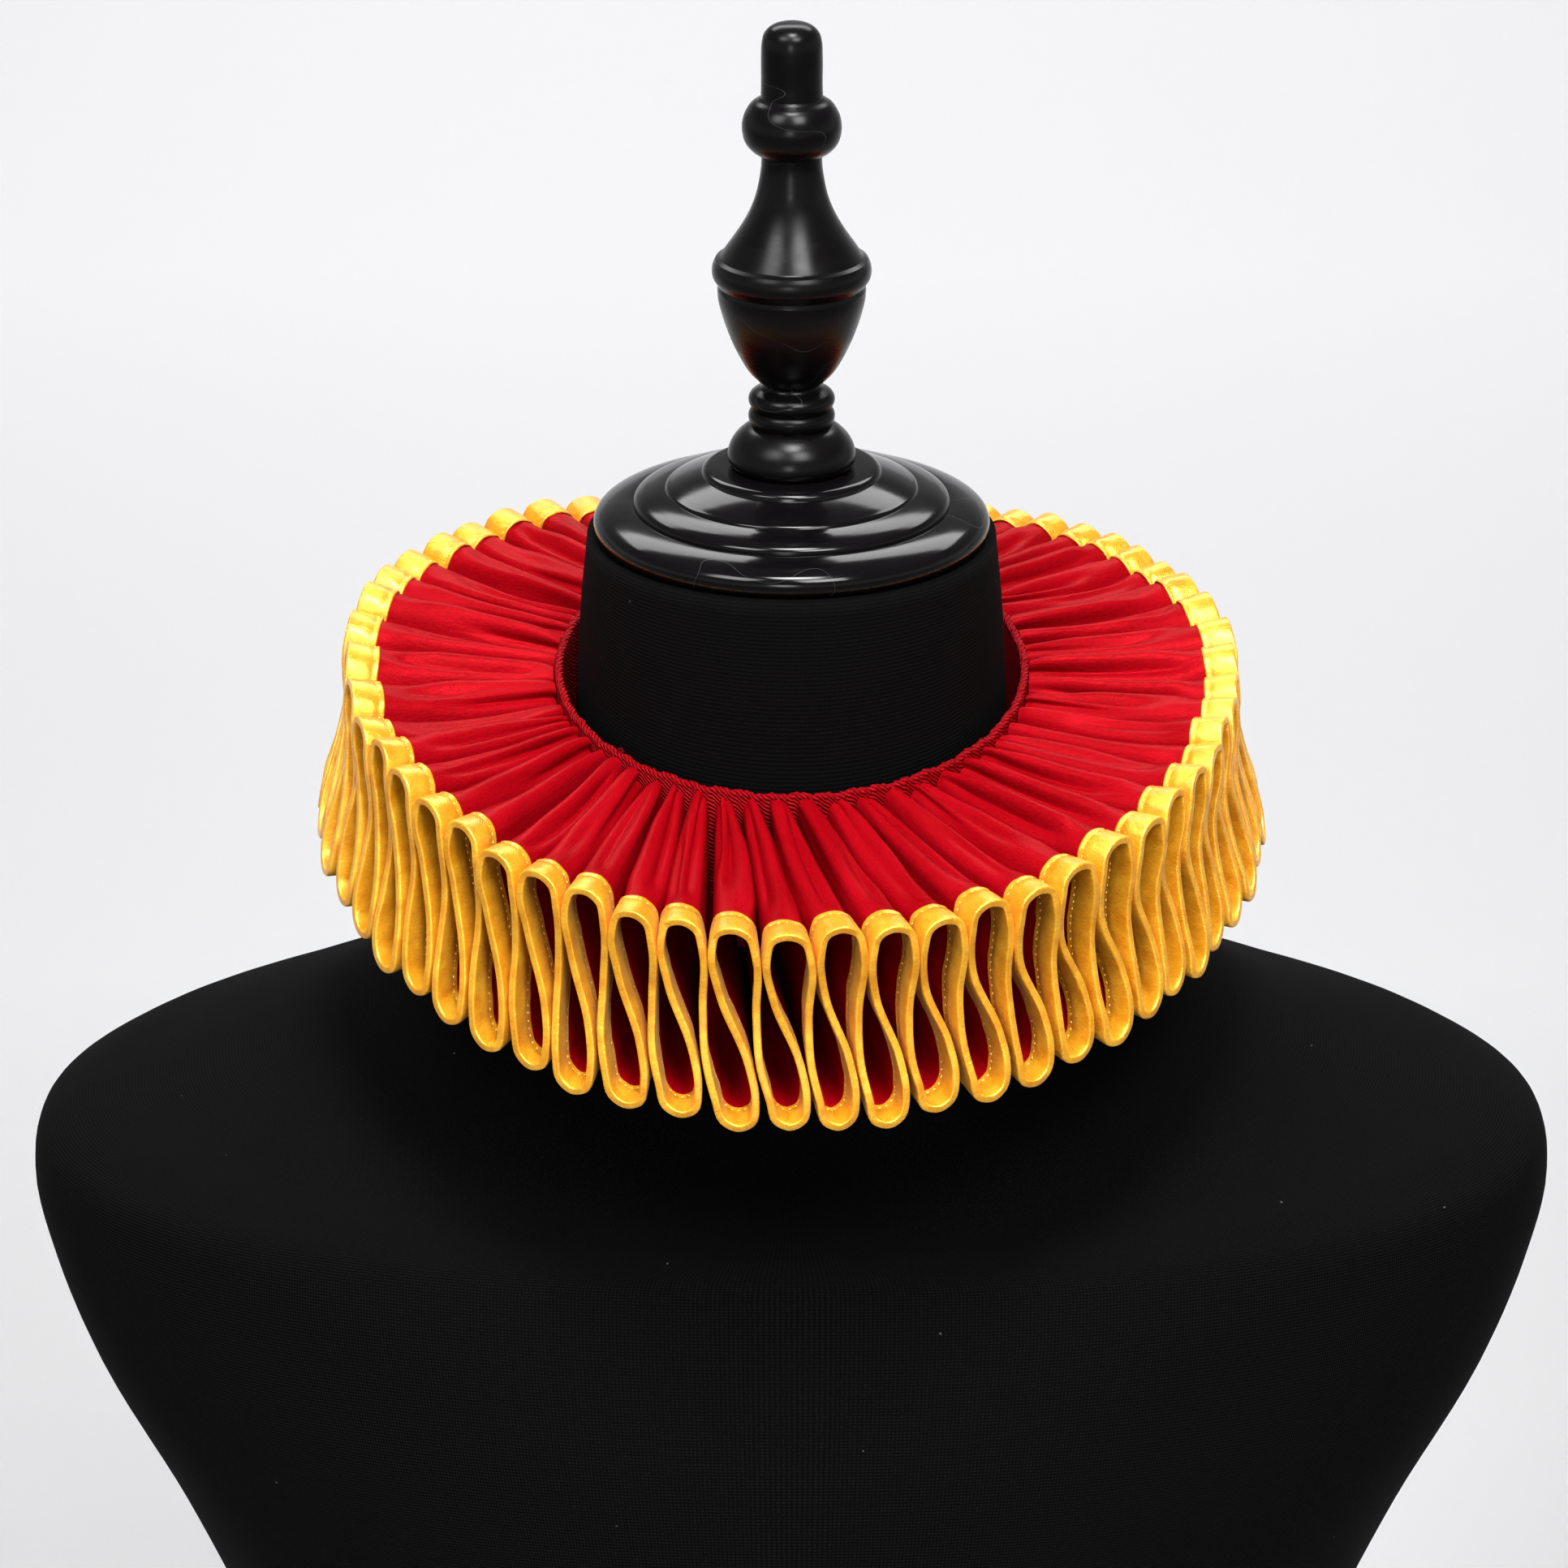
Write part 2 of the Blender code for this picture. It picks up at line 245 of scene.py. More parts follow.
# A tuft of loose threads at the rim: its angle round the neck, the angle from thread to thread,
# how deep they sit, their number, the points along each and round it, and their length and
# thickness.
TUFT_ANGLE = -0.817
TUFT_PITCH = 0.006
TUFT_SINK = 0.0003
TUFT_THREADS = 6
TUFT_POINTS = 6
TUFT_CORNERS = 4
TUFT_LENGTH = 0.0024
TUFT_RADIUS = 0.00013

# Torso sections: height at the sides, how much lower the front lies, half width, depth to the
# front and to the back, and squareness.
TORSO_ROWS = (
    (-0.560, 0.000, 0.1560, 0.112, 0.112, 2.1),
    (-0.530, 0.000, 0.1490, 0.109, 0.108, 2.1),
    (-0.500, 0.000, 0.1415, 0.103, 0.1005, 2.1),
    (-0.470, 0.000, 0.1350, 0.0975, 0.093, 2.1),
    (-0.443, 0.000, 0.1325, 0.0945, 0.0885, 2.1),
    (-0.413, 0.000, 0.1345, 0.0955, 0.0868, 2.1),
    (-0.380, 0.000, 0.1400, 0.1015, 0.0870, 2.1),
    (-0.335, 0.000, 0.1505, 0.1145, 0.091, 2.2),
    (-0.283, 0.000, 0.1655, 0.1245, 0.097, 2.3),
    (-0.240, 0.000, 0.1840, 0.126, 0.101, 2.3),
    (-0.200, 0.000, 0.2055, 0.120, 0.103, 2.3),
    (-0.172, 0.001, 0.2155, 0.113, 0.103, 2.3),
    (-0.148, 0.003, 0.2200, 0.106, 0.102, 2.3),
    (-0.1365, 0.005, 0.2180, 0.102, 0.100, 2.3),
    (-0.1280, 0.008, 0.2065, 0.098, 0.097, 2.2),
    (-0.1205, 0.011, 0.1820, 0.093, 0.092, 2.1),
    (-0.1120, 0.012, 0.1550, 0.088, 0.087, 2.0),
    (-0.1005, 0.014, 0.1280, 0.084, 0.082, 2.0),
    (-0.0870, 0.015, 0.1040, 0.0800, 0.0775, 2.0),
    (-0.0720, 0.014, 0.0860, 0.0755, 0.0735, 2.0),
    (-0.0570, 0.013, 0.0745, 0.0705, 0.0695, 2.0),
    (-0.0500, 0.013, 0.0690, 0.0675, 0.0670, 2.0),
    (-0.0430, 0.0128, 0.0640, 0.0640, 0.0640, 2.0),
    (-0.0300, 0.0128, 0.0618, 0.0618, 0.0618, 2.0),
    (-0.0100, 0.0120, 0.0606, 0.0606, 0.0606, 2.0),
    (0.0200, 0.0040, 0.0590, 0.0590, 0.0590, 2.0),
    (0.0422, 0.0000, 0.0568, 0.0568, 0.0568, 2.0),
)
TORSO_STEPS = 192
TORSO_FINENESS = 6
TORSO_SPACING = 0.8
TORSO_TEXTURE_RADIUS = 0.19

# Outlines of the turned pieces: radius, height, and whether the outline turns sharply there.
CAP_ROWS = (
    (0.0536, 0.0425, 1),
    (0.0545, 0.0432, 0),
    (0.0549, 0.0444, 0),
    (0.0550, 0.0458, 0),
    (0.0547, 0.0470, 0),
    (0.0539, 0.0481, 0),
    (0.0524, 0.0491, 0),
    (0.0500, 0.0501, 0),
    (0.0472, 0.0508, 0),
    (0.0448, 0.0511, 0),
    (0.0439, 0.0511, 1),
    (0.0438, 0.0519, 0),
    (0.0434, 0.0525, 0),
    (0.0420, 0.0534, 0),
    (0.0395, 0.0543, 0),
    (0.0370, 0.0549, 0),
    (0.0351, 0.0552, 1),
    (0.0348, 0.0557, 0),
    (0.0335, 0.0564, 0),
    (0.0305, 0.0577, 0),
    (0.0272, 0.0589, 0),
    (0.0250, 0.0596, 1),
    (0.0247, 0.0606, 0),
    (0.0240, 0.0612, 0),
    (0.0215, 0.0616, 0),
    (0.0183, 0.0617, 1),
)
FINIAL_ROWS = (
    (0.0165, 0.0620, 1),
    (0.0174, 0.0632, 0),
    (0.0177, 0.0648, 0),
    (0.0175, 0.0664, 0),
    (0.0169, 0.0682, 0),
    (0.0158, 0.0700, 0),
    (0.0142, 0.0717, 0),
    (0.0124, 0.0730, 0),
    (0.0110, 0.0736, 1),
    (0.0115, 0.0744, 0),
    (0.0119, 0.0756, 0),
    (0.0119, 0.0768, 0),
    (0.0113, 0.0780, 0),
    (0.0105, 0.0786, 1),
    (0.0114, 0.0794, 0),
    (0.0119, 0.0806, 0),
    (0.0118, 0.0818, 0),
    (0.0111, 0.0829, 0),
    (0.0099, 0.0837, 1),
    (0.0084, 0.0846, 0),
    (0.0080, 0.0853, 0),
    (0.0093, 0.0866, 0),
    (0.0119, 0.0894, 0),
    (0.0143, 0.0934, 0),
    (0.0163, 0.0976, 0),
    (0.0180, 0.1020, 0),
    (0.0193, 0.1062, 0),
    (0.0202, 0.1104, 0),
    (0.0203, 0.1126, 1),
    (0.0200, 0.1136, 1),
    (0.0208, 0.1148, 0),
    (0.0215, 0.1160, 0),
    (0.0218, 0.1178, 0),
    (0.0215, 0.1196, 0),
    (0.0208, 0.1210, 1),
    (0.0194, 0.1217, 1),
    (0.0182, 0.1236, 0),
    (0.0164, 0.1262, 0),
    (0.0145, 0.1290, 0),
    (0.0125, 0.1324, 0),
    (0.0108, 0.1360, 0),
    (0.0096, 0.1396, 0),
    (0.0088, 0.1435, 0),
    (0.0083, 0.1472, 0),
    (0.0082, 0.1500, 1),
    (0.0096, 0.1507, 0),
    (0.0112, 0.1519, 0),
    (0.0126, 0.1537, 0),
    (0.0133, 0.1558, 0),
    (0.0135, 0.1580, 0),
    (0.0132, 0.1602, 0),
    (0.0123, 0.1625, 0),
    (0.0108, 0.1645, 0),
    (0.0092, 0.1655, 1),
    (0.0084, 0.1662, 1),
    (0.0083, 0.1700, 0),
    (0.0083, 0.1780, 0),
    (0.0081, 0.1812, 0),
    (0.0075, 0.1834, 0),
    (0.0063, 0.1849, 0),
    (0.0046, 0.1859, 0),
    (0.0025, 0.1864, 0),
    (0.0004, 0.1865, 1),
)
TURNED_STEPS = 160
TURNED_FINENESS = 5
TURNED_TEXTURE_RADIUS = 0.05
SHARP_ANGLE = math.radians(35)

# Camera, as the photograph was taken: place, downward pitch, lens and sensor in millimetres.
CAMERA_PLACE = (-0.0021, -1.3375, 1.0881)
CAMERA_PITCH = math.radians(22.8)
CAMERA_LENS = 117.4
CAMERA_SENSOR = 36

# The wave texture's wave length at a scale of 1, and the colour sockets of a mix node: its two
# inputs and its result.
WAVE_LENGTH = 0.314
MIX_INPUTS = (6, 7)
MIX_RESULT = 2

# Studio floor: its front end, where it starts to curve up behind, the curve's radius and points,
# half its width, and its colours with the depths between which the near one turns into the far.
# The darker near colour is painted shade, for a dimmer floor towards the front.
FLOOR_FRONT = -4.0
FLOOR_BACK = 2.2
FLOOR_CURVE = 1.2
FLOOR_CURVE_STEPS = 24
FLOOR_HALF_WIDTH = 6
FLOOR_SHADED_NEAR = (0.585, 0.583, 0.592)
FLOOR_FAR = (0.745, 0.742, 0.753)
FLOOR_DEPTHS = (0.45, 1.0)

# Softboxes: name, place, aim, size, power in watts and spread of the beam in degrees.
RUFF_PLACE = (0, -0.05, NECK_LEVEL)
SOFTBOXES = (
    ("softbox_left", (-1.02, -1.15, 2.32), RUFF_PLACE, (0.9, 0.9), 2.6, 48),
    ("softbox_right", (0.57, -1.44, 2.32), RUFF_PLACE, (0.9, 0.9), 4.15, 48),
    ("softbox_top", (0.05, -0.50, 2.3), RUFF_PLACE, (0.6, 0.6), 1.5, 26),
    ("softbox_front", (-0.15, -1.95, 0.80), RUFF_PLACE, (0.5, 0.5), 0.14, 20),
    ("softbox_backdrop", (0, 2.5, 2.7), (0, 2.35, 0), (3.4, 1.4), 88, 180),
)

# Surround: its colour, and its strength low and high with the heights between which it changes.
SURROUND_COLOUR = (0.97, 0.98, 1.0, 1.0)
SURROUND_HEIGHTS = (0.10, 0.38)
SURROUND_STRENGTHS = (0.55, 0.17)


def smooth_step(x, low, high):
    """0 below low, 1 above high, and an even rise between."""
    t = np.clip((x - low) / (high - low), 0.0, 1.0)
    return t * t * (3 - 2 * t)


def edge_height(edge, angle):
    """Height of an edge that tilts down at the front, dips or rises at front and back alike, and
    leans to +X."""
    height = edge["mean"] - edge["tilt"] * np.cos(angle) - edge["saddle"] * np.cos(2 * angle)
    return height - edge["lean"] * np.sin(angle)


def polar(radius, angle, height):
    """Points at an angle round the neck, from the front towards +X."""
    radius, angle, height = np.broadcast_arrays(radius, angle, height)
    return np.stack((radius * np.sin(angle), -radius * np.cos(angle), NECK_LEVEL + height), axis=-1)


def sway(count, seed):
    """A repeatable uneven number from -1 to 1."""
    return 0.6 * np.sin(2.3 * count + 1.7 * seed) + 0.4 * np.sin(5.1 * count + 2.9 * seed)


def pleat_angle(place):
    """Angle of a place along the edge, counted in pleats."""
    angle = PITCH * place
    return angle - CROWDING * (1 - np.cos(angle))


def through(rows, gaps, steps):
    """A smooth curve through rows of numbers. Gaps are the distances between them, and steps the
    number of points from each row to the next."""
    rows = np.asarray(rows, float)
    gaps = np.asarray(gaps, float)
    slopes = np.diff(rows, axis=0) / gaps[:, None]
    inner = slopes[:-1] * gaps[1:, None] + slopes[1:] * gaps[:-1, None]
    inner = inner / (gaps[1:] + gaps[:-1])[:, None]
    tangents = np.vstack((slopes[:1], inner, slopes[-1:]))
    out = []
    for i, gap in enumerate(gaps):
        t = (np.arange(steps[i]) / steps[i])[:, None]
        out.append(
            (2 * t**3 - 3 * t**2 + 1) * rows[i]
            + (t**3 - 2 * t**2 + t) * gap * tangents[i]
            + (3 * t**2 - 2 * t**3) * rows[i + 1]
            + (t**3 - t**2) * gap * tangents[i + 1]
        )
    out.append(rows[-1:])
    return np.vstack(out)


def distances(points):
    """Distance along a line from its first point to each of its points."""
    steps = np.linalg.norm(np.diff(points, axis=0), axis=1)
    return np.concatenate(((0,), np.cumsum(steps)))


def texture_grid(along, across):
    """Texture coordinates of a grid of points, from the distances along it and across it."""
    return np.stack(np.broadcast_arrays(along, across), axis=-1)


def add_piece(name, points, faces, material, smooth=True):
    """A mesh object in the scene, from lists of points and faces."""
    mesh = bpy.data.meshes.new(name)
    mesh.from_pydata(points, [], faces)
    mesh.polygons.foreach_set("use_smooth", np.full(len(faces), smooth))
    mesh.materials.append(material)
    piece = bpy.data.objects.new(name, mesh)
    bpy.context.collection.objects.link(piece)
    return piece


def sheet_mesh(name, grid, texture, material, wrap=False):
    """A smooth open mesh from a grid of points, with texture coordinates in metres. A wrapped grid
    closes on its first column, and its texture has one column more."""
    columns, rows = grid.shape[:2]
    index = np.arange((columns + wrap) * rows).reshape(-1, rows)
    corners = (index[:-1, :-1], index[1:, :-1], index[1:, 1:], index[:-1, 1:])
    corners = np.stack(corners, axis=-1).reshape(-1, 4)
    faces = corners % (columns * rows)
    piece = add_piece(name, grid.reshape(-1, 3).tolist(), faces.tolist(), material)
    layer = piece.data.uv_layers.new(name="cloth")
    layer.data.foreach_set("uv", texture.reshape(-1, 2)[corners.ravel()].astype(np.float32).ravel())
    return piece


def map_range(tree, value, source, target):
    """Output of a shader node that turns one range of numbers into another."""
    node = tree.nodes.new("ShaderNodeMapRange")
    for key, number in zip(("From Min", "From Max", "To Min", "To Max"), (*source, *target)):
        node.inputs[key].default_value = number
    tree.links.new(value, node.inputs["Value"])
    return node.outputs["Result"]


class Look:
    """A Principled material with a few short ways to add nodes. Inputs are given by name, with an
    underscore for each space."""

    def __init__(self, name, colour, **values):
        self.material = bpy.data.materials.new(name)
        self.material.use_nodes = True
        self.tree = self.material.node_tree
        self.shader = self.tree.nodes["Principled BSDF"]
        self.shader.inputs["Base Color"].default_value = (*colour, 1.0)
        for key, value in values.items():
            self.shader.inputs[key.replace("_", " ")].default_value = value
        self.bump_normal = None

    def node(self, kind, **values):
        """A node with its properties and input values."""
        node = self.tree.nodes.new(kind)
        for key, value in values.items():
            if hasattr(node, key):
                setattr(node, key, value)
            else:
                node.inputs[key.replace("_", " ")].default_value = value
        return node

    def link(self, source, target):
        """A link between two sockets."""
        self.tree.links.new(source, target)

    def placed(self, kind="UV", scale=(1, 1, 1), turn=0.0):
        """Texture coordinates, scaled to cells per metre and turned in the plane."""
        source = self.node("ShaderNodeTexCoord")
        mapping = self.node("ShaderNodeMapping")
        mapping.inputs["Scale"].default_value = scale
        mapping.inputs["Rotation"].default_value = (0, 0, turn)
        self.link(source.outputs[kind], mapping.inputs["Vector"])
        return mapping.outputs["Vector"]

    def noise(self, vector, detail=2.0):
        """Smooth noise from 0 to 1, with one cell to each unit."""
        node = self.node("ShaderNodeTexNoise", Scale=1.0, Detail=detail)
        self.link(vector, node.inputs["Vector"])
        return node.outputs["Fac"]

    def waves(self, vector, period, distortion=0.0):
        """Parallel waves across X, a period apart."""
        scale = WAVE_LENGTH / period
        node = self.node("ShaderNodeTexWave", Scale=scale, Distortion=distortion, Detail_Scale=1.5)
        self.link(vector, node.inputs["Vector"])
        return node.outputs["Fac"]

    def tint(self, factor, dark, light, low=0.0, high=1.0):
        """Goes from a dark to a light colour while a factor goes from low to high."""
        ramp = self.node("ShaderNodeValToRGB")
        ramp.color_ramp.elements[0].position = low
        ramp.color_ramp.elements[0].color = (*dark, 1.0)
        ramp.color_ramp.elements[1].position = high
        ramp.color_ramp.elements[1].color = (*light, 1.0)
        self.link(factor, ramp.inputs["Fac"])
        return ramp.outputs["Color"]

    def paint(self, colour):
        """Uses a colour output as the base colour."""
        self.link(colour, self.shader.inputs["Base Color"])

    def mix(self, factor, first, second, blend_type="MIX"):
        """Mixes two colours by a factor. Each of the three is an output or a value."""
        node = self.node("ShaderNodeMix", data_type="RGBA", blend_type=blend_type)
        sockets = [node.inputs["Factor"]] + [node.inputs[i] for i in MIX_INPUTS]
        for socket, value in zip(sockets, (factor, first, second)):
            if isinstance(value, bpy.types.NodeSocket):
                self.link(value, socket)
            else:
                socket.default_value = value
        return node.outputs[MIX_RESULT]

    def bump(self, height, distance, strength=1.0):
        """Adds a bump of a height in metres."""
        node = self.node("ShaderNodeBump", Strength=strength, Distance=distance)
        self.link(height, node.inputs["Height"])
        if self.bump_normal is not None:
            self.link(self.bump_normal, node.inputs["Normal"])
        self.bump_normal = node.outputs["Normal"]
        self.link(self.bump_normal, self.shader.inputs["Normal"])


def red_satin():
    """Red satin: close threads along the strip, faint painted sheen as lighter and darker stripes
    that run outward, and fine ripples that run out to the edge."""
    look = Look(
        "red_satin",
        (0.33, 0.0006, 0.003),
        Roughness=0.38,
        Metallic=0.14,
        IOR=1.14,
        Anisotropic=0.3,
        Specular_Tint=(1.0, 0.35, 0.40, 1.0),
    )
    slant = math.radians(-28)
    broad = look.noise(look.placed(scale=(160, 30, 1)), detail=3.0)
    weave = look.noise(look.placed(scale=(1900, 600, 1), turn=slant), detail=1.0)
    # Painted sheen: lighter and darker stripes in the red's colour that run outward.
    painted_sheen = look.tint(broad, (0.245, 0.0006, 0.0030), (0.33, 0.0016, 0.0060), 0.3, 0.7)
    grain = look.tint(weave, (0.84, 0.80, 0.80), (1.0, 1.0, 1.0), 0.35, 0.60)
    look.paint(look.mix(1.0, painted_sheen, grain, blend_type="MULTIPLY"))
    look.bump(look.noise(look.placed(scale=(260, 34, 1))), 0.0010, 0.30)
    look.bump(look.waves(look.placed(turn=math.radians(62)), 0.0006), 0.00003, 0.6)
    look.bump(look.noise(look.placed(scale=(1700, 500, 1), turn=slant)), 0.00016, 0.8)
    return look.material


def gold_satin():
    """Gold satin ribbon cut on the bias: slanting threads and puckers along the stitching."""
    look = Look(
        "gold_satin",
        (0.85, 0.40, 0.02),
        Roughness=0.28,
        Metallic=0.40,
        Sheen_Weight=0.10,
        Sheen_Roughness=0.4,
        Sheen_Tint=(1.0, 0.88, 0.55, 1.0),
        Specular_Tint=(1.0, 0.93, 0.70, 1.0),
        Specular_IOR_Level=0.85,
        Coat_Weight=0.30,
        Coat_Roughness=0.24,
    )
    bias = math.radians(45)
    broad = look.noise(look.placed(scale=(200, 140, 1)), detail=3.0)
    weave = look.noise(look.placed(scale=(1700, 650, 1), turn=bias), detail=1.0)
    patches = look.tint(broad, (0.78, 0.30, 0.004), (1.0, 0.51, 0.028), 0.3, 0.7)
    grain = look.tint(weave, (0.90, 0.85, 0.76), (1.0, 1.0, 1.0), 0.35, 0.60)
    look.paint(look.mix(1.0, patches, grain, blend_type="MULTIPLY"))
    look.bump(look.noise(look.placed(scale=(520, 300, 1)), detail=3.0), 0.0005, 0.32)
    look.bump(look.waves(look.placed(turn=bias), 0.0005), 0.00005, 0.8)
    look.bump(look.noise(look.placed(scale=(1500, 900, 1), turn=bias)), 0.00016, 0.8)
    return look.material


def gold_thread():
    """Twisted gold sewing thread."""
    look = Look("gold_thread", (0.95, 0.62, 0.14), Roughness=0.40)
    look.bump(look.noise(look.placed("Object", scale=(3000, 3000, 3000))), 0.00006, 0.8)
    return look.material


def red_twill():
    """Red twill tape of the neckband, with fine slanting ridges and painted shade in the grooves
    between them.
    """
    look = Look(
        "red_twill",
        (0.26, 0.001, 0.004),
        Roughness=0.58,
        IOR=1.25,
        Specular_Tint=(1.0, 0.3, 0.32, 1.0),
    )
    ropes = look.waves(look.placed(turn=math.radians(52)), 0.0009, distortion=1.0)
    # The colour is darker in the grooves between the ridges: painted shade.
    look.paint(look.tint(ropes, (0.15, 0.0005, 0.002), (0.30, 0.0012, 0.005), 0.1, 0.8))
    look.bump(ropes, 0.0005, 0.8)
    look.bump(look.noise(look.placed(scale=(1500, 1500, 1))), 0.0002, 0.5)
    return look.material


def black_jersey():
    """Black knitted jersey: fine wales and courses, darker in the hollows of the knit as painted
    shade, with a few specks of lint.
    """
    look = Look("black_jersey", (0.003, 0.003, 0.0033), Roughness=0.9, Specular_IOR_Level=0.05)
    wales = look.waves(look.placed(), 0.00085, distortion=1.6)
    courses = look.waves(look.placed(turn=math.radians(90)), 0.00095, distortion=1.6)
    knit = look.mix(1.0, wales, courses, blend_type="MULTIPLY")
    # Darker in the hollows between the wales and courses: painted shade.
    dark = look.tint(knit, (0.0009, 0.0009, 0.0010), (0.0058, 0.0058, 0.0061), 0.0, 0.9)
    lint = look.node("ShaderNodeTexVoronoi", Scale=1.0)
    look.link(look.placed("Object", scale=(60, 60, 60)), lint.inputs["Vector"])
    speck = map_range(look.tree, lint.outputs["Distance"], (0.012, 0.022), (1.0, 0.0))
    look.paint(look.mix(speck, dark, (0.10, 0.10, 0.105, 1.0)))
    look.bump(knit, 0.00025, 0.8)
    return look.material


def black_lacquer(name, roughness, gloss):
    """Black lacquer on turned wood, with faint turning rings, rubbed patches and a few fine
    scratches."""
    black = (0.0022, 0.0018, 0.0021)
    look = Look(name, black, Roughness=roughness, Specular_IOR_Level=gloss)
    rings = look.noise(look.placed("Object", scale=(6, 6, 900)))
    look.bump(rings, 0.00002, 0.20)
    marks = look.noise(look.placed("Object", scale=(60, 60, 220)), detail=4.0)
    rough = map_range(look.tree, marks, (0.35, 0.75), (roughness * 0.85, roughness * 1.4))
    look.link(rough, look.shader.inputs["Roughness"])
    lines = look.noise(look.placed("Object", scale=(26, 26, 55)), detail=1.0)
    scratch = look.node("ShaderNodeMath", operation="COMPARE")
    scratch.inputs[1].default_value = 0.62
    scratch.inputs[2].default_value = 0.0011
    look.link(lines, scratch.inputs[0])
    grey = (0.030, 0.029, 0.031)
    look.paint(look.mix(scratch.outputs["Value"], (*black, 1.0), (*grey, 1.0)))
    return look.material


def loop_shift(place, shifts, reach):
    """How far a place along the edge is moved with its loop. A loop keeps most of its width where
    the gap to the next one opens, and is squeezed where it closes."""
    counts = np.arange(FIRST_PLEAT, FIRST_PLEAT + PLEATS)
    shifts = np.asarray(shifts)
    change = np.diff(shifts)
    share = reach * np.where(change < 0, change, OPENING_SHARE * change)
    knots, values = [counts[0] - reach], [shifts[0]]
    for i, step in enumerate(share):
        knots += [counts[i] + reach, counts[i + 1] - reach]
        values += [shifts[i] + step, shifts[i + 1] - step]
    return np.interp(place, knots + [counts[-1] + reach], values + [shifts[-1]])


def ruff_columns():
    """The lines across the pleated strip, one for each column of the mesh: their ends, the pinched
    inner end, the share of the height, the bow and puff, the distance along the edge and the
    width."""
    pleats = np.repeat(np.arange(FIRST_PLEAT, FIRST_PLEAT + PLEATS), len(PLEAT_ROWS))
    table = np.tile(np.array(PLEAT_ROWS), (PLEATS, 1))
    across_outer, across_inner, across_pinched = table[:, :3].T
    further_left, further_right, up, tuck = table[:, 3:7].T
    side = np.sin(PITCH * pleats)
    across_outer = across_outer + further_left * np.where(side < 0, side, 0) ** 2
    across_outer = across_outer + further_right * smooth_step(side, *RIGHT_SIDE)
    shift = up * loop_shift(pleats + across_outer, TOP_SHIFTS, TOP_REACH)
    shift += (1 - up) * loop_shift(pleats + across_outer, BOTTOM_SHIFTS, BOTTOM_REACH)
    outer_angle = pleat_angle(pleats + across_outer + shift)
    trail = BOTTOM_TRAIL["side"] * np.sin(outer_angle)
    trail += BOTTOM_TRAIL["back"] * (1 - np.cos(outer_angle))
    outer_angle = outer_angle - (1 - up) * trail
    top = edge_height(TOP_EDGE, outer_angle) + HEIGHT_SWAY * sway(pleats, 3)
    bottom = edge_height(BOTTOM_EDGE, outer_angle) + HEIGHT_SWAY * sway(pleats, 4)
    reach = REACH_SWAY * (up * sway(pleats, 5) + (1 - up) * sway(pleats, 6))
    radius = BOTTOM_RADIUS + (TOP_RADIUS - BOTTOM_RADIUS) * up + reach - tuck
    inner_shift = INNER_SHARE * loop_shift(pleats + across_inner, TOP_SHIFTS, TOP_REACH)
    inner_angle = pleat_angle(pleats + across_inner + inner_shift)
    inner_angle -= INNER_TRAIL * np.cos(inner_angle) * (1 + np.cos(inner_angle)) / 2
    pinch = (across_pinched - across_inner) * PITCH
    inner_top = edge_height(BAND_EDGE, inner_angle) - INNER_DROP
    inner_height = inner_top - INNER_DEPTH * (1 - up)
    height = bottom + (top - bottom) * up
    bow = BOW * sway(pleats, 9)
    bow += SWELL * np.clip(across_outer / SWELL_ACROSS, -1, 1) * smooth_step(up, *SWELL_UP)
    puff = PUFF * sway(pleats, 10) * up**2
    ends = (outer_angle, radius, height, inner_angle, inner_height)
    numbers = np.stack((*ends, up, pinch, bow, puff), axis=1)[:-1]
    outer = polar(numbers[:, 1], numbers[:, 0], numbers[:, 2])
    gaps = np.linalg.norm(np.diff(outer, axis=0), axis=1)
    fine = through(numbers, gaps, (STEPS * PLEATS)[: len(gaps)])
    outer_angle, radius, height, inner_angle, inner_height, up, pinch, bow, puff = fine.T
    outer = polar(radius, outer_angle, height)
    inner = polar(INNER_RADIUS, inner_angle, inner_height)
    sideways = np.stack((np.cos(outer_angle), np.sin(outer_angle), 0 * outer_angle), axis=1)
    return {
        "inner": inner,
        "pinched": polar(INNER_RADIUS, inner_angle + pinch, inner_height),
        "outer": outer,
        "up": up,
        "aside": sideways * bow[:, None],
        "puff": puff,
        "run": distances(outer),
        "width": np.linalg.norm(outer - inner, axis=1),
    }


def surface(columns, way):
    """Points of the pleated cloth, for a way of 0 at the neckband to 1 at the outer edge."""
    way = np.broadcast_to(way, (len(columns["up"]), np.shape(way)[-1]))[..., None]
    up = columns["up"][:, None, None]
    arch = np.sin(np.pi * way)
    points = columns["inner"][:, None] * (1 - way) + columns["outer"][:, None] * way
    points += (columns["pinched"] - columns["inner"])[:, None] * np.exp(-((way / PINCH_REACH) ** 2))
    points += columns["aside"][:, None] * arch
    sag = TOP_SAG * up + BOTTOM_SAG * (1 - up) - columns["puff"][:, None, None]
    points[..., 2:] -= sag * arch
    return points


def surface_frame(columns, way):
    """Points of the cloth, with the unit directions outward and square to it. The last is upward
    on the crowns."""
    points = surface(columns, way)
    nudge = 0.004
    reach = surface(columns, np.asarray(way) + nudge) - surface(columns, np.asarray(way) - nudge)
    reach /= np.linalg.norm(reach, axis=-1, keepdims=True)
    normals = np.cross(reach, np.gradient(points, axis=0))
    return points, reach, normals / np.linalg.norm(normals, axis=-1, keepdims=True)


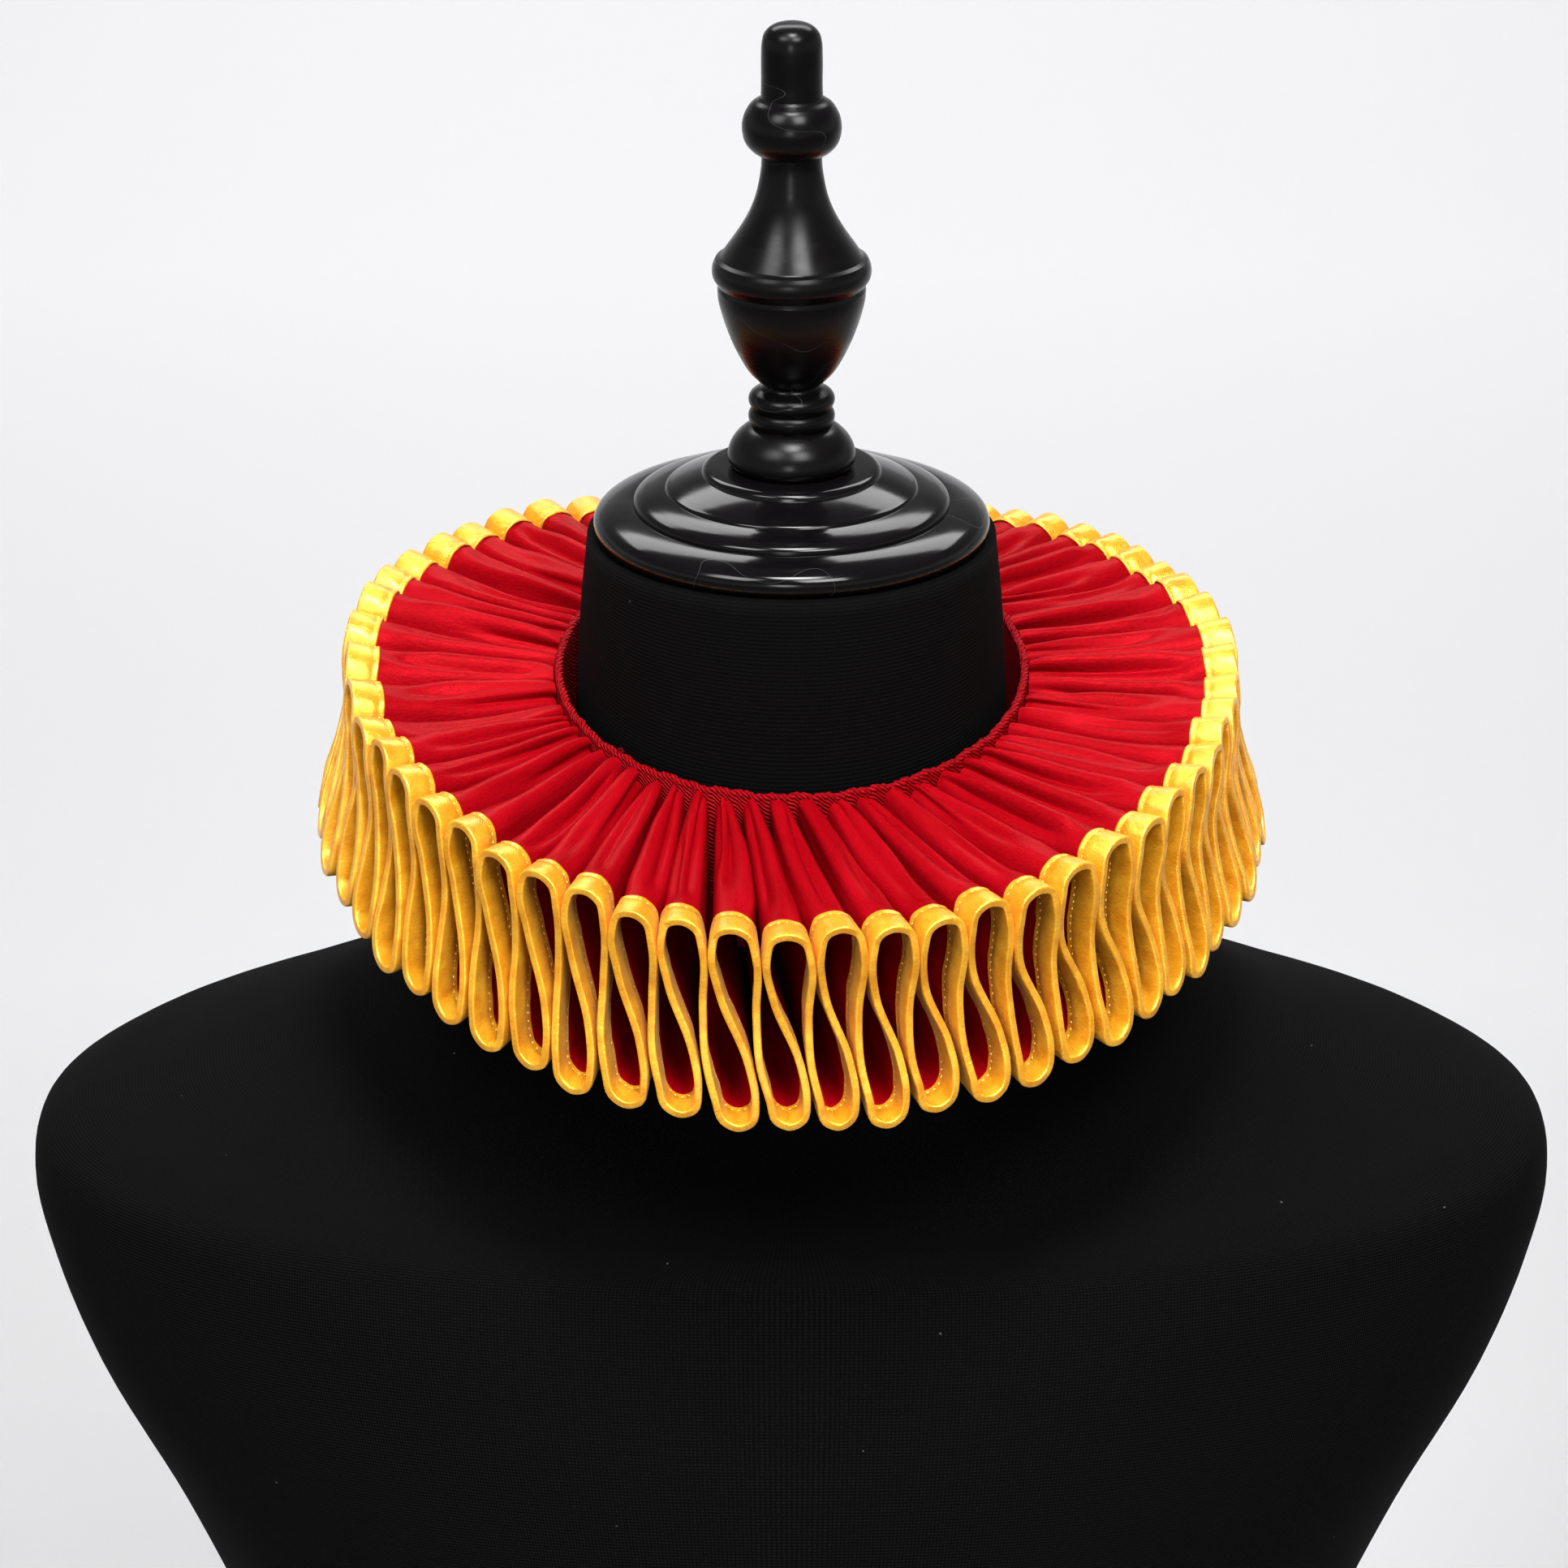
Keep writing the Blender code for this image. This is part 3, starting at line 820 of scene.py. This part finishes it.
def crease_heights(way, points):
    """Height of the soft folds over the plain pleats, at each point of the strip."""
    length = np.linalg.norm(np.diff(points, axis=0), axis=2)
    run = np.vstack((np.zeros((1, len(way))), np.cumsum(length, axis=0)))
    height = np.zeros(points.shape[:2])
    half = PLEAT_COLUMNS // 2
    for pleat in range(PLEATS):
        crown = pleat * PLEAT_COLUMNS + CROWN_COLUMN
        low, high = max(crown - half, 0), min(crown + half, len(points))
        radius = INNER_RADIUS + (TOP_RADIUS - INNER_RADIUS) * way
        place = (run[low:high] - run[crown]) / (CREASE_SPAN * PITCH * radius)
        beside = 1 - smooth_step(np.abs(place), *CREASE_SIDES)
        pleat_kind = (pleat * 5 + pleat // 9) % CREASE_KINDS
        for kind, centre, depth, width, start, end, lean in CREASES:
            if kind != pleat_kind:
                continue
            middle = centre + CREASE_WANDER * sway(pleat, 7) + lean * (way - 0.5)
            fade = smooth_step(way, start, start + CREASE_FADE)
            fade = fade * (1 - smooth_step(way, end - CREASE_FADE, end))
            depth = depth * (1 + CREASE_VARIETY * sway(pleat, 8))
            fold = depth * np.exp(-(((place - middle) / width) ** 2))
            height[low:high] += fold * fade * beside
    return height


def make_ruff():
    """The red strip, the gold binding round its edge and the stitches that hold it."""
    columns = ruff_columns()
    width = columns["width"][:, None]
    way = (np.arange(CLOTH_ROWS) / (CLOTH_ROWS - 1)) ** ROW_CROWDING
    points, _, normals = surface_frame(columns, way[None, :] * (1 - CLOTH_INSET / width))
    height = crease_heights(way, points)
    height = height * (1 - CREASE_PRESSING * smooth_step(way, *CREASE_PRESSED))
    points = points + normals * height[..., None]
    rounding = np.exp(-way / ROUNDING_REACH) * ROUNDING
    points[..., 2] -= rounding[None, :] * (2 * columns["up"][:, None] - 1)
    run = columns["run"][:, None]
    texture = texture_grid(run, way[None, :] * width)
    strip = sheet_mesh("ruff_cloth", points, texture, red_satin())

    section = list(BINDING_SECTION) + [(inset, -rise) for inset, rise in BINDING_SECTION[-2::-1]]
    inset = np.array([row[0] for row in section])
    rise = np.array([row[1] for row in section])
    middle, reach, normals = surface_frame(columns, 1 - inset[None, :] / width)
    fine, coarse = PUCKER_LENGTHS
    pucker = PUCKER * np.sin(run / fine + PUCKER_SLANT * inset) * np.sin(run / coarse)
    pucker = pucker * smooth_step(inset, *PUCKER_INSET)
    counts = np.arange(FIRST_PLEAT, FIRST_PLEAT + PLEATS)
    join = np.interp(JOIN_PLACE, counts, run[CROWN_COLUMN::PLEAT_COLUMNS, 0])
    from_join = run - join - JOIN_SLANT * (inset - JOIN_INSET)
    seam = JOIN_HEIGHT * np.exp(-((from_join / JOIN_WIDTH) ** 2))
    folded = middle + normals * (rise + np.sign(rise) * (pucker + seam))[..., None]
    around = distances(np.stack((inset, rise), axis=1))
    binding = sheet_mesh("gold_binding", folded, texture_grid(run, around), gold_satin())
    row = STITCH_ROW
    stitches = make_stitches(middle[:, row], normals[:, row], reach[:, row], rise[row])
    return strip, binding, stitches, run[-1, 0]


def make_stitches(line, normal, reach, rise):
    """Small running stitches on both faces of the binding."""
    length = distances(line)
    counts = np.arange(int(length[-1] / STITCH_PITCH))
    starts = (counts + STITCH_START) * STITCH_PITCH
    ends = starts + STITCH_LENGTH * (1 + STITCH_VARIETY * sway(counts, 3))

    def at(values, place):
        """Values along the line, at places along its length."""
        return np.stack([np.interp(place, length, values[:, axis]) for axis in range(3)], axis=1)

    points = []
    for side in (1, -1):
        head, tail = at(line, starts), at(line, ends)
        out = at(normal, (starts + ends) / 2)
        out /= np.linalg.norm(out, axis=1, keepdims=True)
        across = at(reach, (starts + ends) / 2)
        lift = side * (rise + STITCH_RADIUS * STITCH_RAISE)
        centre = (head + tail) / 2 + out * lift
        low = side * (rise - STITCH_RADIUS)
        beside = across * STITCH_RADIUS
        quad = [centre + out * side * STITCH_RADIUS, centre + beside, centre - beside]
        points.append(np.stack([head + out * low, *quad, tail + out * low], axis=1))
    points = np.concatenate(points)
    base = np.arange(len(points))[:, None, None] * 5
    shape = np.array([(0, 1, 2), (0, 3, 1), (4, 2, 1), (4, 1, 3), (0, 2, 3), (4, 3, 2)])
    faces = (base + shape).reshape(-1, 3).tolist()
    return add_piece("gold_stitches", points.reshape(-1, 3).tolist(), faces, gold_thread())


def make_neckband():
    """The folded neckband, with a twisted cord along its rim."""
    angle = np.linspace(-math.pi + BACK_SLIT, math.pi - BACK_SLIT, BAND_STEPS)[:, None]
    first, last = CORD_TURNS
    turn = np.linspace(first * math.pi, last * math.pi, CORD_STEPS)[None, :]
    centre = BAND_RADIUS - BAND_WALL / 2
    uneven = sum(height * np.sin(angle * waves + start) for height, waves, start in BAND_WAVES)
    twist = np.sin(angle * CORD_TWISTS + CORD_SLANT * turn)
    cord = BAND_WALL / 2 * (CORD_THICKNESS + CORD_RELIEF * twist)
    top = edge_height(BAND_EDGE, angle) + uneven
    rim = polar(centre - cord * np.cos(turn), angle, top - BAND_WALL / 2 + cord * np.sin(turn))
    levels = np.concatenate([np.linspace(*part) for part in BAND_LEVELS])[None, :]
    inside = polar(centre - BAND_WALL / 2, angle, top - levels)
    outside = polar(centre + BAND_WALL / 2, angle, top - levels[:, ::-1])
    grid = np.concatenate((inside, rim, outside), axis=1)
    texture = texture_grid(angle * BAND_RADIUS, distances(grid[0]))
    return sheet_mesh("neckband_tape", grid, texture, red_twill())


def make_tuft(material):
    """A few loose threads that stick up from the neckband's rim."""
    points, faces = [], []
    for thread in range(TUFT_THREADS):
        base = polar(BAND_RADIUS - BAND_WALL / 2, TUFT_ANGLE + TUFT_PITCH * thread, 0.0)
        base[2] += float(edge_height(BAND_EDGE, TUFT_ANGLE)) - TUFT_SINK
        lean = np.array((sway(thread, 1), sway(thread, 2), 1.3 + 0.4 * sway(thread, 3)))
        curl = np.array((sway(thread, 4), sway(thread, 5), -0.5))
        first = len(points)
        for step in range(TUFT_POINTS):
            t = step / (TUFT_POINTS - 1)
            middle = base + TUFT_LENGTH * (lean * t * 0.6 + curl * t * t * 0.5)
            for corner in range(TUFT_CORNERS):
                turn = corner * 2 * math.pi / TUFT_CORNERS
                aside = np.array((math.cos(turn), math.sin(turn), 0.0))
                points.append(tuple(middle + TUFT_RADIUS * aside))
        last = len(points) - TUFT_CORNERS
        faces.append(tuple(first + corner for corner in reversed(range(TUFT_CORNERS))))
        faces.append(tuple(last + corner for corner in range(TUFT_CORNERS)))
        for here in range(first, last, TUFT_CORNERS):
            for corner in range(TUFT_CORNERS):
                left, right = here + corner, here + (corner + 1) % TUFT_CORNERS
                faces.append((left, right, right + TUFT_CORNERS, left + TUFT_CORNERS))
    return add_piece("thread_tuft", points, faces, material, smooth=False)


def make_torso():
    """The form's body and neck under black jersey."""
    rows = np.array(TORSO_ROWS)
    gaps = np.hypot(np.diff(rows[:, 0]), np.diff(rows[:, 2])) ** TORSO_SPACING
    fine = through(rows, gaps, [TORSO_FINENESS] * len(gaps))
    height, tilt, half_width, front, back, square = (fine[:, i][None, :] for i in range(6))
    round_angle = np.linspace(-math.pi, math.pi, TORSO_STEPS + 1)[:, None]
    angle = round_angle[:-1]
    across, along = np.sin(angle), -np.cos(angle)
    depth = np.where(along < 0, front, back)
    x = np.sign(across) * half_width * np.abs(across) ** (2 / square)
    y = np.sign(along) * depth * np.abs(along) ** (2 / square)
    grid = np.stack((x, y, NECK_LEVEL + height + tilt * along), axis=-1)
    side = grid[TORSO_STEPS // 4]
    texture = texture_grid(round_angle * TORSO_TEXTURE_RADIUS, distances(side))
    piece = sheet_mesh("jersey_torso", grid, texture, black_jersey(), wrap=True)
    close_ends(piece.data, TORSO_STEPS, len(height[0]))
    return piece


def close_ends(mesh, steps, rows):
    """Flat faces over the first and the last ring of a wrapped grid."""
    shape = bmesh.new()
    shape.from_mesh(mesh)
    shape.verts.ensure_lookup_table()
    for row in (0, rows - 1):
        shape.faces.new([shape.verts[step * rows + row] for step in range(steps)])
    bmesh.ops.recalc_face_normals(shape, faces=shape.faces)
    shape.to_mesh(mesh)
    shape.free()


def make_turned(name, rows, material):
    """A turned piece from its outline, smooth but for its sharp corners."""
    rows = np.array(rows)
    corners = [0] + [i for i in range(1, len(rows) - 1) if rows[i, 2]] + [len(rows) - 1]
    outline = []
    for first, last in zip(corners, corners[1:]):
        part = rows[first : last + 1, :2]
        gaps = np.linalg.norm(np.diff(part, axis=0), axis=1)
        outline.append(through(part, gaps, [TURNED_FINENESS] * len(gaps))[:-1])
    outline = np.vstack(outline + [rows[-1:, :2]])
    angle = np.linspace(-math.pi, math.pi, TURNED_STEPS + 1)[:, None]
    grid = polar(outline[None, :, 0], angle[:-1], outline[None, :, 1])
    texture = texture_grid(angle * TURNED_TEXTURE_RADIUS, outline[None, :, 1])
    piece = sheet_mesh(name, grid, texture, material, wrap=True)
    close_ends(piece.data, TURNED_STEPS, len(outline))
    piece.data.set_sharp_from_angle(angle=SHARP_ANGLE)
    return piece


def make_camera():
    """The camera at the photograph's place and angle."""
    data = bpy.data.cameras.new("camera")
    data.lens = CAMERA_LENS
    data.sensor_width = CAMERA_SENSOR
    data.clip_end = 50
    camera = bpy.data.objects.new("camera", data)
    camera.location = CAMERA_PLACE
    camera.rotation_euler = (math.pi / 2 - CAMERA_PITCH, 0, 0)
    bpy.context.collection.objects.link(camera)
    bpy.context.scene.camera = camera


def make_light(name, place, aim, size, power, spread):
    """A softbox that points at a place, with its beam's spread in degrees."""
    data = bpy.data.lights.new(name, "AREA")
    data.shape = "RECTANGLE"
    data.size, data.size_y = size
    data.energy = power
    data.spread = math.radians(spread)
    light = bpy.data.objects.new(name, data)
    light.location = place
    light.rotation_euler = (Vector(aim) - Vector(place)).to_track_quat("-Z", "Y").to_euler()
    bpy.context.collection.objects.link(light)


def make_studio():
    """Pale floor that curves up behind, darker towards the front as painted shade, soft lights and
    an even surround.
    """
    bend = np.linspace(0.05, math.pi / 2, FLOOR_CURVE_STEPS)
    back = FLOOR_BACK + np.sin(bend) * FLOOR_CURVE
    rise = FLOOR_CURVE - np.cos(bend) * FLOOR_CURVE
    profile = [(FLOOR_FRONT, 0.0), (FLOOR_BACK, 0.0), *zip(back, rise)]
    across = np.linspace(-FLOOR_HALF_WIDTH, FLOOR_HALF_WIDTH, 3)
    grid = np.array([[(x, y, z) for y, z in profile] for x in across])
    look = Look("floor_paint_and_painted_shade", FLOOR_FAR, Roughness=0.9)
    depth = look.node("ShaderNodeSeparateXYZ")
    look.link(look.placed("Object"), depth.inputs["Vector"])
    # The floor's colour darkens towards the front: painted shade.
    look.paint(look.tint(depth.outputs["Y"], FLOOR_SHADED_NEAR, FLOOR_FAR, *FLOOR_DEPTHS))
    look.bump(look.noise(look.placed("Object", scale=(300, 300, 300))), 0.0002, 0.2)
    floor = sheet_mesh("studio_floor", grid, grid[..., :2], look.material)
    for softbox in SOFTBOXES:
        make_light(*softbox)
    world = bpy.data.worlds.new("studio")
    world.use_nodes = True
    tree = world.node_tree
    background = tree.nodes["Background"]
    direction = tree.nodes.new("ShaderNodeTexCoord")
    parts = tree.nodes.new("ShaderNodeSeparateXYZ")
    tree.links.new(direction.outputs["Generated"], parts.inputs["Vector"])
    glow = map_range(tree, parts.outputs["Z"], SURROUND_HEIGHTS, SURROUND_STRENGTHS)
    tree.links.new(glow, background.inputs["Strength"])
    background.inputs["Color"].default_value = SURROUND_COLOUR
    scene = bpy.context.scene
    scene.world = world
    scene.view_settings.view_transform = "Standard"
    scene.view_settings.look = "None"


def main():
    """Build every piece, hang it from the root body and hide the CAD part it stands in for."""
    make_camera()
    make_studio()
    strip, binding, stitches, edge_length = make_ruff()
    band = make_neckband()
    torso = make_torso()
    tuft = make_tuft(band.data.materials[0])
    cap = make_turned("neck_cap_turned", CAP_ROWS, black_lacquer("gloss_lacquer", 0.12, 0.24))
    finial = make_turned("finial_turned", FINIAL_ROWS, black_lacquer("rubbed_lacquer", 0.26, 0.17))
    roles = (
        (strip, "ruff_strip", "red_satin"),
        (binding, "edge_binding", "gold_satin"),
        (stitches, None, "gold_satin"),
        (band, "neckband", "red_twill"),
        (tuft, None, "red_twill"),
        (torso, "form_torso", "black_jersey"),
        (cap, "form_neck_cap", "black_lacquer"),
        (finial, "form_finial", "black_lacquer"),
    )
    for piece, node, slot in roles:
        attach(piece, "root")
        if node:
            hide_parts(node)


main()
